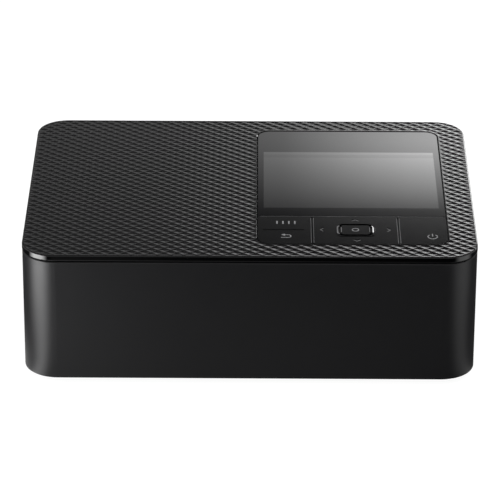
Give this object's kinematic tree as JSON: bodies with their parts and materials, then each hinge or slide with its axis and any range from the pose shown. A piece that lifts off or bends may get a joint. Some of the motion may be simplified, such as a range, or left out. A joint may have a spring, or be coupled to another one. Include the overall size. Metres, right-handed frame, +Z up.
{
  "type": "compact photo printer",
  "caption": "Compact photo printer: low box with a textured lid, flush display and key panel, front cover over the paper bay, ribbon door on the side and rear paper slot.",
  "frame": {"origin": "middle of the footprint, on the table, under the rubber feet", "axes": "+X to the right seen from the front, +Y to the rear, +Z up"},
  "size_m": [0.1822, 0.133, 0.0576],
  "materials": {
    "lid_plastic": "gloss black, textured top",
    "case_plastic": "satin black",
    "inner_plastic": "matt",
    "panel_glass": "gloss black window",
    "screen": "dark display",
    "key_plastic": "gloss black",
    "circuit_board": "solder resist",
    "rubber": "matt",
    "sheet_steel": "zinc plated",
    "shaft_steel": "ground",
    "gear_plastic": "moulded",
    "brass": "turned",
    "aluminium": "extruded",
    "cassette_plastic": "moulded",
    "film": "ribbon film",
    "lever_plastic": "moulded"
  },
  "bodies": {
    "case": {"top_cover": "lid_plastic", "panel_frame": "inner_plastic", "display_glass": "panel_glass", "lcd_module": "screen", "key_board": "circuit_board", "front_frame": "inner_plastic", "case_body": "case_plastic", "bottom_case": "inner_plastic", "rubber_feet": "rubber", "case_screws": "shaft_steel", "battery_terminals": "inner_plastic", "paper_bay": "inner_plastic", "paper_guides": "sheet_steel", "left_chassis_plate": "sheet_steel", "right_chassis_plate": "sheet_steel", "chassis_crossbar": "sheet_steel", "roller_bushes": "gear_plastic", "feed_motor": "sheet_steel", "motor_bracket": "sheet_steel", "head_pivot_shaft": "shaft_steel", "ribbon_cassette": "cassette_plastic", "ribbon_film": "film", "main_board": "circuit_board", "port_board": "circuit_board", "card_slot": "sheet_steel", "host_port": "sheet_steel", "data_port": "sheet_steel", "power_inlet": "inner_plastic"},
    "front_cover": {"front_cover": "case_plastic"},
    "side_door": {"side_door": "case_plastic"},
    "terminal_cover": {"terminal_cover": "case_plastic"},
    "menu_back_key": {"menu_back_key": "key_plastic"},
    "nav_key": {"nav_key": "key_plastic"},
    "ok_key": {"ok_key": "key_plastic"},
    "power_key": {"power_key": "key_plastic"},
    "platen": {"platen_shaft": "shaft_steel", "platen_roller": "rubber", "platen_gear": "gear_plastic"},
    "grip": {"grip_roller": "shaft_steel", "grip_gear": "gear_plastic"},
    "pinch": {"pinch_roller": "rubber"},
    "feed": {"feed_shaft": "shaft_steel", "feed_roller": "rubber", "feed_gear": "gear_plastic"},
    "rear_idler": {"rear_idler": "gear_plastic"},
    "front_idler": {"front_idler": "gear_plastic"},
    "clutch_idler": {"clutch_idler": "gear_plastic"},
    "take_up_gear": {"take_up_gear": "gear_plastic"},
    "motor_pinion": {"motor_pinion": "brass"},
    "head": {"head_heat_sink": "aluminium", "thermal_head": "gear_plastic"},
    "supply_spool": {"supply_spool": "film", "supply_hub": "gear_plastic"},
    "take_up_spool": {"take_up_spool": "film", "take_up_hub": "gear_plastic"},
    "cassette_lever": {"cassette_lever": "lever_plastic"}
  },
  "joints": [
    {"name": "front_cover_hinge", "type": "hinge", "parent": "case", "child": "front_cover", "pos_m": [0, -0.0619, 0.0049], "axis": [1, 0, 0], "range_deg": [0, 90]},
    {"name": "side_door_hinge", "type": "hinge", "parent": "case", "child": "side_door", "pos_m": [0.0889, 0.014, 0.016], "axis": [0, 1, 0], "range_deg": [0, 90]},
    {"name": "terminal_cover_hinge", "type": "hinge", "parent": "case", "child": "terminal_cover", "pos_m": [-0.036, 0.0641, 0.009], "axis": [-1, 0, 0], "range_deg": [0, 90]},
    {"name": "menu_back_rock", "type": "hinge", "parent": "case", "child": "menu_back_key", "pos_m": [0.01415, -0.0415, 0.05675], "axis": [1, 0, 0], "range_deg": [-1.2, 1.2], "stiffness_Nm_per_rad": 0.05},
    {"name": "nav_rock", "type": "hinge", "parent": "case", "child": "nav_key", "pos_m": [0.0425, -0.0415, 0.05675], "axis": [1, 0, 0], "range_deg": [-1.2, 1.2], "stiffness_Nm_per_rad": 0.05},
    {"name": "ok_press", "type": "slide", "parent": "case", "child": "ok_key", "axis": [0, 0, -1], "range_m": [0, 0.00025], "stiffness_N_per_m": 300},
    {"name": "power_press", "type": "slide", "parent": "case", "child": "power_key", "axis": [0, 0, -1], "range_m": [0, 0.00025], "stiffness_N_per_m": 300},
    {"name": "platen_spin", "type": "hinge", "parent": "case", "child": "platen", "pos_m": [0, 0.014, 0.0167], "axis": [1, 0, 0], "continuous": true},
    {"name": "grip_spin", "type": "hinge", "parent": "case", "child": "grip", "pos_m": [0, 0.052, 0.0197], "axis": [1, 0, 0], "continuous": true},
    {"name": "pinch_spin", "type": "hinge", "parent": "case", "child": "pinch", "pos_m": [0, 0.052, 0.0278], "axis": [1, 0, 0], "continuous": true},
    {"name": "feed_spin", "type": "hinge", "parent": "case", "child": "feed", "pos_m": [0, -0.017, 0.0265], "axis": [1, 0, 0], "continuous": true},
    {"name": "rear_idler_spin", "type": "hinge", "parent": "case", "child": "rear_idler", "pos_m": [0, 0.03399, 0.01595], "axis": [1, 0, 0], "continuous": true},
    {"name": "front_idler_spin", "type": "hinge", "parent": "case", "child": "front_idler", "pos_m": [0, -0.00369, 0.02003], "axis": [1, 0, 0], "continuous": true},
    {"name": "clutch_idler_spin", "type": "hinge", "parent": "case", "child": "clutch_idler", "pos_m": [0, 0.03689, 0.02924], "axis": [1, 0, 0], "continuous": true},
    {"name": "take_up_gear_spin", "type": "hinge", "parent": "case", "child": "take_up_gear", "pos_m": [0, 0.036, 0.04], "axis": [1, 0, 0], "continuous": true},
    {"name": "motor_spin", "type": "hinge", "parent": "case", "child": "motor_pinion", "pos_m": [0, 0.01136, 0.03167], "axis": [1, 0, 0], "continuous": true},
    {"name": "head_tilt", "type": "hinge", "parent": "case", "child": "head", "pos_m": [0, 0.0205, 0.033], "axis": [1, 0, 0], "range_deg": [0, 6], "stiffness_Nm_per_rad": 0.05, "springref_deg": -17.19},
    {"name": "supply_spin", "type": "hinge", "parent": "case", "child": "supply_spool", "pos_m": [0, -0.008, 0.04], "axis": [1, 0, 0], "continuous": true},
    {"name": "take_up_spin", "type": "hinge", "parent": "case", "child": "take_up_spool", "pos_m": [0, 0.036, 0.04], "axis": [1, 0, 0], "continuous": true},
    {"name": "cassette_lever_swing", "type": "hinge", "parent": "case", "child": "cassette_lever", "pos_m": [0.065, 0.03, 0.014], "axis": [-1, 0, 0], "range_deg": [0, 50], "stiffness_Nm_per_rad": 0.005, "springref_deg": -5.73}
  ],
  "couplings": [
    {"joint": "rear_idler_spin", "follows": "platen_spin", "ratio": -1.0833},
    {"joint": "grip_spin", "follows": "platen_spin", "ratio": 1.1818},
    {"joint": "front_idler_spin", "follows": "platen_spin", "ratio": -1.3684},
    {"joint": "feed_spin", "follows": "platen_spin", "ratio": 1.4444},
    {"joint": "motor_spin", "follows": "platen_spin", "ratio": -2.1667},
    {"joint": "clutch_idler_spin", "follows": "platen_spin", "ratio": 2.6},
    {"joint": "take_up_gear_spin", "follows": "platen_spin", "ratio": -1.5294}
  ]
}
